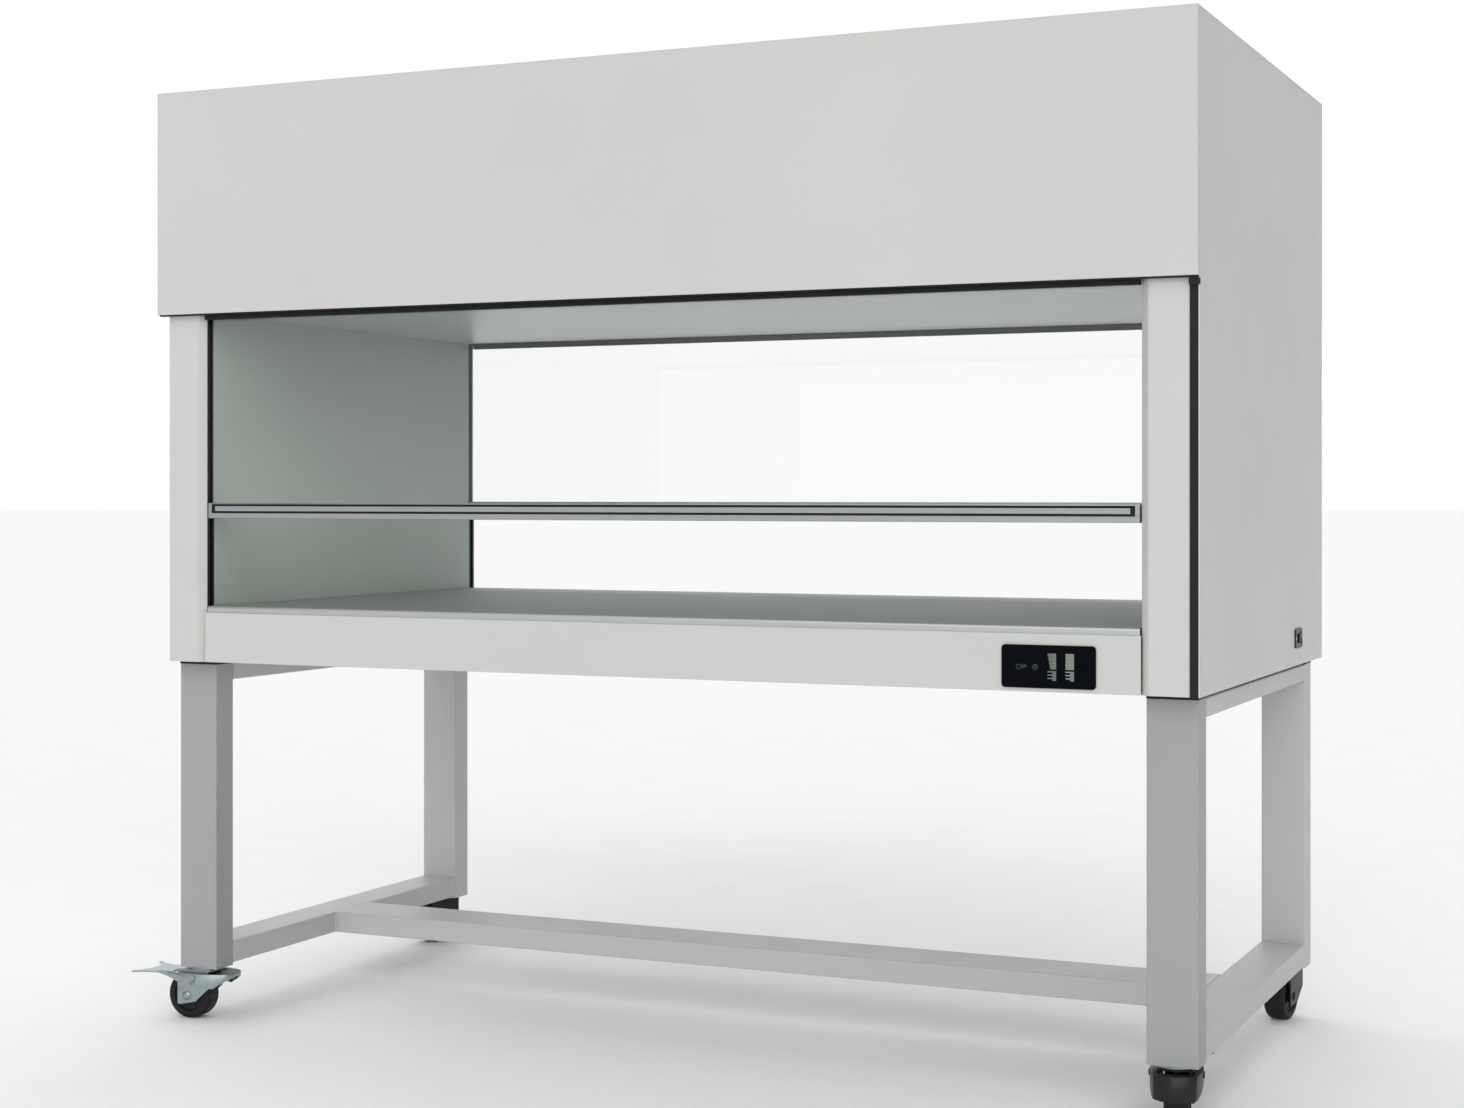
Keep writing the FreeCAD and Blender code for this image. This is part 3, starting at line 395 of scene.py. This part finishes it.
def make_materials():
    return {
        "white_coat": powder_coat("white_coat", (0.585, 0.590, 0.572), 0.42),
        "stand_coat": powder_coat("stand_coat", (0.52, 0.525, 0.52), 0.45),
        # darker copy of the stand paint for the front legs: painted shade
        "leg_coat": powder_coat("leg_coat", (0.35, 0.355, 0.357), 0.45),
        "liner_coat": powder_coat("liner_coat", (0.47, 0.53, 0.485), 0.36, 0.02),
        "diffuser_coat": powder_coat("diffuser_coat", (0.56, 0.62, 0.60), 0.33, 0.012),
        "stainless": rolled_metal("stainless", (0.58, 0.60, 0.59), 0.58, (1, 240, 240), 0.35),
        "aluminium": rolled_metal("aluminium", (0.44, 0.465, 0.475), 0.30, (1, 300, 300)),
        "bright_steel": rolled_metal("bright_steel", (0.62, 0.63, 0.64), 0.22, (300, 3, 3)),
        "cast_weight": rubber("cast_weight", (0.09, 0.095, 0.10), 0.6, 300.0),
        "galvanised": spangled_steel(),
        "zinc": zinc_plate("zinc", (0.36, 0.42, 0.43), 0.32),
        # black for the forks of the three casters other than the front-left: painted shade on zinc
        # casters
        "black_fork": moulded("black_fork", (0.006, 0.006, 0.0065), 0.36),
        "black_tyre": rubber("black_tyre", (0.006, 0.006, 0.007), 0.55),
        "black_rubber": rubber("black_rubber", (0.006, 0.006, 0.006), 0.50),
        "black_guide": moulded("black_guide", (0.007, 0.008, 0.009), 0.45),
        "black_plastic": moulded("black_plastic", (0.014, 0.014, 0.015), 0.38),
        "fan_plastic": moulded("fan_plastic", (0.03, 0.032, 0.035), 0.42),
        "filter_card": moulded("filter_card", (0.62, 0.58, 0.48), 0.85),
        "lamp_opal": moulded("lamp_opal", (0.66, 0.71, 0.70), 0.30),
        "filter_paper": filter_paper(),
        "sash_glass": window_glass(),
        "display_print": display_print(),
        "panel_gloss": panel_glass(),
    }


# ---- mesh helpers -------------------------------------------------------
def piece(name, bm, material, body):
    """Turn a finished bmesh into a named piece that rides on a body."""
    bmesh.ops.recalc_face_normals(bm, faces=bm.faces)
    mesh = bpy.data.meshes.new(name)
    bm.to_mesh(mesh)
    bm.free()
    obj = link(bpy.data.objects.new(name, mesh))
    mesh.materials.append(material)
    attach(obj, body)


def along(axis, start):
    """Matrix that puts local +Z on an axis, from a start point."""
    turn = Vector((0, 0, 1)).rotation_difference(Vector(axis)).to_matrix().to_4x4()
    return Matrix.Translation(Vector(start)) @ turn


def lathe(bm, profile, place, segments=32, smooth=True):
    """Revolve (radius, height) points round local Z and put the result in place."""
    rings = []
    for radius, height in profile:
        if radius < 1e-7:
            rings.append([bm.verts.new(place @ Vector((0, 0, height)))])
            continue
        ring = []
        for step in range(segments):
            angle = 2 * math.pi * step / segments
            local = Vector((radius * math.cos(angle), radius * math.sin(angle), height))
            ring.append(bm.verts.new(place @ local))
        rings.append(ring)
    for first, second in zip(rings, rings[1:]):
        for step in range(segments):
            following = (step + 1) % segments
            corners = [first[step % len(first)], first[following % len(first)],
                       second[following % len(second)], second[step % len(second)]]
            corners = list(dict.fromkeys(corners))
            if len(corners) > 2:
                face = bm.faces.new(corners)
                face.smooth = smooth


def extrude_outline(bm, points, thickness, place):
    """Flat outline in local X and Y, thickened along local Z."""
    low = [bm.verts.new(place @ Vector((x, y, 0))) for x, y in points]
    high = [bm.verts.new(place @ Vector((x, y, thickness))) for x, y in points]
    bm.faces.new(low)
    bm.faces.new(high)
    count = len(points)
    for step in range(count):
        following = (step + 1) % count
        bm.faces.new((low[step], low[following], high[following], high[step]))


def soften(name, width):
    """Give a CAD node the small edge radius that bending, filing or moulding leaves."""
    obj = nodes[name]
    weld = obj.modifiers.new("weld", "WELD")
    weld.merge_threshold = WELD_DISTANCE
    bevel = obj.modifiers.new("edge_radius", "BEVEL")
    bevel.width = width
    bevel.segments = EDGE_SEGMENTS
    bevel.limit_method = "ANGLE"
    bevel.angle_limit = math.radians(SHARP_ANGLE)
    bevel.harden_normals = True


# ---- finish the CAD nodes -----------------------------------------------
def dress_nodes(materials):
    """Give every CAD slot its material; the front legs get a darker copy of the stand paint as
    painted shade.
    """
    for obj in nodes.values():
        for slot in obj.material_slots:
            slot.material = materials[slot.material.name.split(".")[0]]
    # painted shade: the front legs take the darker copy of the stand paint
    for name in ("leg_front_left", "leg_front_right"):
        nodes[name].material_slots[0].material = materials["leg_coat"]


def soften_nodes():
    """Edge radii in metres, by the start of the node's name."""
    radii = {"hood_front": 0.0006, "hood_rear": 0.0006, "base_panel": 0.0006, "column": 0.0006,
             "side_panel": 0.0006, "stretcher": 0.0012, "top_rail": 0.0010, "bottom_rail": 0.0012,
             "brake_pedal": 0.0008, "caster_fork": 0.0006, "caster_mounts": 0.0005,
             "sash_rail": 0.0004, "worktop": 0.0006, "inner_wall": 0.0005, "power_inlet": 0.0004,
             "power_switch": 0.0004, "control_panel": 0.0004, "counterweights": 0.0015,
             "intake_grilles": 0.0004}
    for name in nodes:
        for start, radius in radii.items():
            if name.startswith(start):
                soften(name, radius)


# ---- pieces -------------------------------------------------------------
def screw_head(bm, place, radius, height):
    """Domed head with a hexagon socket sunk into it."""
    socket = radius * SCREW_SOCKET
    profile = [(radius, 0), (radius, height * 0.35), (radius * 0.88, height * 0.75),
               (radius * SCREW_CROWN, height)]
    lathe(bm, profile, place, SCREW_SIDES)
    angles = [2 * math.pi * step / SCREW_SIDES for step in range(SCREW_SIDES)]
    rim, floor, outer = [], [], []
    for angle in angles:
        flat = math.cos(math.pi / 6) / math.cos((angle % (math.pi / 3)) - math.pi / 6)
        x = socket * flat * math.cos(angle)
        y = socket * flat * math.sin(angle)
        rim.append(bm.verts.new(place @ Vector((x, y, height))))
        floor.append(bm.verts.new(place @ Vector((x, y, height * SCREW_SOCKET_FLOOR))))
    for angle in angles:
        local = Vector((radius * SCREW_CROWN * math.cos(angle),
                        radius * SCREW_CROWN * math.sin(angle), height))
        outer.append(bm.verts.new(place @ local))
    for step in range(SCREW_SIDES):
        following = (step + 1) % SCREW_SIDES
        bm.faces.new((outer[step], outer[following], rim[following], rim[step]))
        bm.faces.new((rim[step], rim[following], floor[following], floor[step]))
    bm.faces.new(floor)


def weld_bead(bm, start, end, first, second, size):
    """Rippled fillet between two faces that meet along a line."""
    start, end = Vector(start), Vector(end)
    first, second = Vector(first), Vector(second)
    count = max(4, int((end - start).length / WELD_RIPPLE * 3))
    rings = []
    for step in range(count + 1):
        share = step / count
        swell = 1 + 0.10 * math.cos(2 * math.pi * share * (end - start).length / WELD_RIPPLE)
        taper = min(1.0, 8 * share + 0.2, 8 * (1 - share) + 0.2)
        reach = size * swell * taper
        centre = start.lerp(end, share)
        ring = [centre]
        for turn in range(BEAD_POINTS):
            angle = math.pi / 2 * turn / (BEAD_POINTS - 1)
            bulge = 0.80 + 0.20 * abs(math.cos(2 * angle))
            ring.append(centre + first * reach * math.cos(angle) * bulge
                        + second * reach * math.sin(angle) * bulge)
        rings.append([bm.verts.new(point) for point in ring])
    for lower, upper in zip(rings, rings[1:]):
        for step in range(BEAD_POINTS + 1):
            following = (step + 1) % (BEAD_POINTS + 1)
            face = bm.faces.new((lower[step], lower[following], upper[following], upper[step]))
            face.smooth = True
    bm.faces.new(rings[0])
    bm.faces.new(rings[-1])


def make_welds(materials):
    """Beads in the inside corners of the stand, painted over with it."""
    bm = bmesh.new()
    for side in ("left", "right"):
        for rail, up in (("top_rail_", -1), ("bottom_rail_", 1), ("bottom_rail_", -1)):
            low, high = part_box(rail + side)
            z = high.z if up > 0 else low.z
            for y, away in ((low.y, 1), (high.y, -1)):
                weld_bead(bm, (low.x + WELD_INSET, y, z), (high.x - WELD_INSET, y, z),
                          (0, away, 0), (0, 0, up), WELD_SIZE)
    low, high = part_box("stretcher")
    for x, away in ((low.x, 1), (high.x, -1)):
        for y, out in ((low.y, -1), (high.y, 1)):
            weld_bead(bm, (x, y, low.z + STRETCHER_INSET), (x, y, high.z - STRETCHER_INSET),
                      (away, 0, 0), (0, out, 0), WELD_SIZE)
    piece("stand_welds", bm, materials["stand_coat"], "cabinet")


def upright(origin, across, up):
    """Matrix whose local X and Y run along two given directions of a flat face."""
    across, up = Vector(across), Vector(up)
    turn = Matrix((across, up, across.cross(up))).transposed().to_4x4()
    return Matrix.Translation(Vector(origin)) @ turn


def make_display(materials):
    """Printed marks of the touch panel: two bar graphs, a lamp and an airflow mark."""
    low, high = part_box("control_panel")
    width, height = high.x - low.x, high.z - low.z
    face = upright((low.x, low.y - MARK_GAP, low.z), (1, 0, 0), (0, 0, 1))
    bm = bmesh.new()

    def bar(left, right, bottom, top, slant=0.0):
        points = [(left * width, bottom * height), (right * width, bottom * height),
                  (right * width, top * height), ((left + slant) * width, top * height)]
        extrude_outline(bm, points, MARK_THICKNESS, face)

    for left, right, lean in BAR_GRAPHS:
        for step in range(UPPER_BARS):
            bottom = UPPER_START + step * UPPER_PITCH
            spread = lean * (1 - step / (UPPER_BARS - 1))
            bar(left + spread, right, bottom, bottom + UPPER_BAR)
        for step in range(LOWER_BARS):
            bottom = LOWER_START + step * LOWER_PITCH
            length = (right - left) * (0.45 + 0.55 * (step % 2))
            bar(right - length, right, bottom, bottom + LOWER_BAR)
    for u, radius in ((LAMP_PLACE, LAMP_RADIUS), (FAN_PLACE, FAN_RADIUS)):
        centre = face @ Matrix.Translation((u * width, SYMBOL_HEIGHT * height, 0))
        inside = radius - RING_WIDTH
        profile = [(radius, 0), (radius, MARK_THICKNESS), (inside, MARK_THICKNESS), (inside, 0),
                   (radius, 0)]
        lathe(bm, profile, centre, 28, smooth=False)
    for step in range(3):
        bar(0.222 + step * 0.019, 0.230 + step * 0.019, 0.44 + 0.02 * step, 0.54, -0.006)
    for turn in range(3):
        angle = 2 * math.pi * turn / 3
        blade = face @ Matrix.Translation((FAN_PLACE * width, SYMBOL_HEIGHT * height, 0))
        blade = blade @ Matrix.Rotation(angle, 4, "Z")
        outline = [(0, 0), (0.0010, 0.0012), (0.0004, 0.0030), (-0.0010, 0.0026)]
        extrude_outline(bm, outline, MARK_THICKNESS, blade)
    piece("display_marks", bm, materials["display_print"], "cabinet")


def make_grille_screws(materials):
    """A screw at each corner of both intake grilles."""
    low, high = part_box("intake_grilles")
    bm = bmesh.new()
    middle = (low.x + high.x) / 2
    inset = GRILLE_SCREW_INSET
    columns = (low.x + inset, middle - GRILLE_BRIDGE - inset, middle + GRILLE_BRIDGE + inset,
               high.x - inset)
    for x in columns:
        for y in (low.y + inset, high.y - inset):
            screw_head(bm, along((0, 0, 1), (x, y, high.z)), *GRILLE_SCREW)
    piece("grille_screws", bm, materials["bright_steel"], "cabinet")


def make_inlet_screws(materials):
    """The two screws that hold the power inlet's flange."""
    low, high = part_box("power_inlet")
    bm = bmesh.new()
    for y in (low.y + INLET_SCREW_INSET, high.y - INLET_SCREW_INSET):
        place = along((1, 0, 0), (high.x - INLET_SCREW_SUNK, y, (low.z + high.z) / 2))
        screw_head(bm, place, *INLET_SCREW)
    piece("inlet_screws", bm, materials["bright_steel"], "cabinet")


def make_rail_groove_shade(materials):
    """Black strips in the grooves that outline each sash rail's grip: painted shade of the groove
    edges, in the black rubber material.
    """
    for side, way in (("front", -1), ("rear", 1)):
        low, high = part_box("sash_rail_" + side)
        face = low.y if way < 0 else high.y
        bm = bmesh.new()
        ends = (low.x + SHADE_STRIP_END, high.x - SHADE_STRIP_END)
        inner = (low.x + SHADE_STRIP_INNER_END, high.x - SHADE_STRIP_INNER_END)
        lower = (low.z + SHADE_STRIP_LOWER[0], low.z + SHADE_STRIP_LOWER[1])
        upper = (low.z + SHADE_STRIP_UPPER[0], low.z + SHADE_STRIP_UPPER[1])
        strips = [(ends[0], ends[1], *lower), (ends[0], ends[1], *upper),
                  (ends[0], inner[0], lower[1], upper[0]), (inner[1], ends[1], lower[1], upper[0])]
        for x0, x1, z0, z1 in strips:
            outline = [(z0, 0), (z0, SHADE_STRIP_SIDE), ((z0 + z1) / 2, SHADE_STRIP_CROWN), (z1, SHADE_STRIP_SIDE),
                       (z1, 0)]
            start = x0 if way < 0 else x1
            base = upright((start, face - way * SHADE_STRIP_SUNK, 0), (0, 0, 1), (0, way, 0))
            extrude_outline(bm, outline, x1 - x0, base)
        # painted shade: black strips where the grooves' walls and ends fall in shade
        piece("grip_cord_" + side, bm, materials["black_rubber"], side + "_sash")


def make_caster_hardware(materials):
    """Peened axle rivets with washers on each fork, and the ribs moulded into each hub."""
    for joint in frame["joints"]:
        if not joint["name"].startswith("wheel_spin_"):
            continue
        corner = joint["name"].replace("wheel_spin_", "")
        axis = Vector(joint["axis"]).normalized()
        centre = Vector(joint["pos_m"])
        bm = bmesh.new()
        for way in (-1, 1):
            outward = axis * way
            lathe(bm, RIVET_PROFILE, along(outward, centre + outward * CHEEK))
        # rivets are zinc at the front left and black elsewhere, the black being painted shade
        slot = FORK_ZINC_ELSE_SHADE_BLACK.get(corner, "black_fork")
        piece("axle_rivets_" + corner, bm, materials[slot], "swivel_" + corner)
        bm = bmesh.new()
        for way in (-1, 1):
            for rib in range(RIB_COUNT):
                place = along(axis * way, centre + axis * way * HUB_FACE)
                place = place @ Matrix.Rotation(2 * math.pi / RIB_COUNT * rib, 4, "Z")
                extrude_outline(bm, RIB_OUTLINE, RIB_DEPTH, place)
        piece("hub_ribs_" + corner, bm, materials["black_plastic"],
              "wheel_" + corner)


def write_sizes():
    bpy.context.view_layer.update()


bpy.context.scene.view_settings.view_transform = "Standard"
make_camera()
make_floor()
make_world()
make_lights()
materials = make_materials()
dress_nodes(materials)
soften_nodes()
make_welds(materials)
make_display(materials)
make_grille_screws(materials)
make_inlet_screws(materials)
make_rail_groove_shade(materials)
make_caster_hardware(materials)
write_sizes()
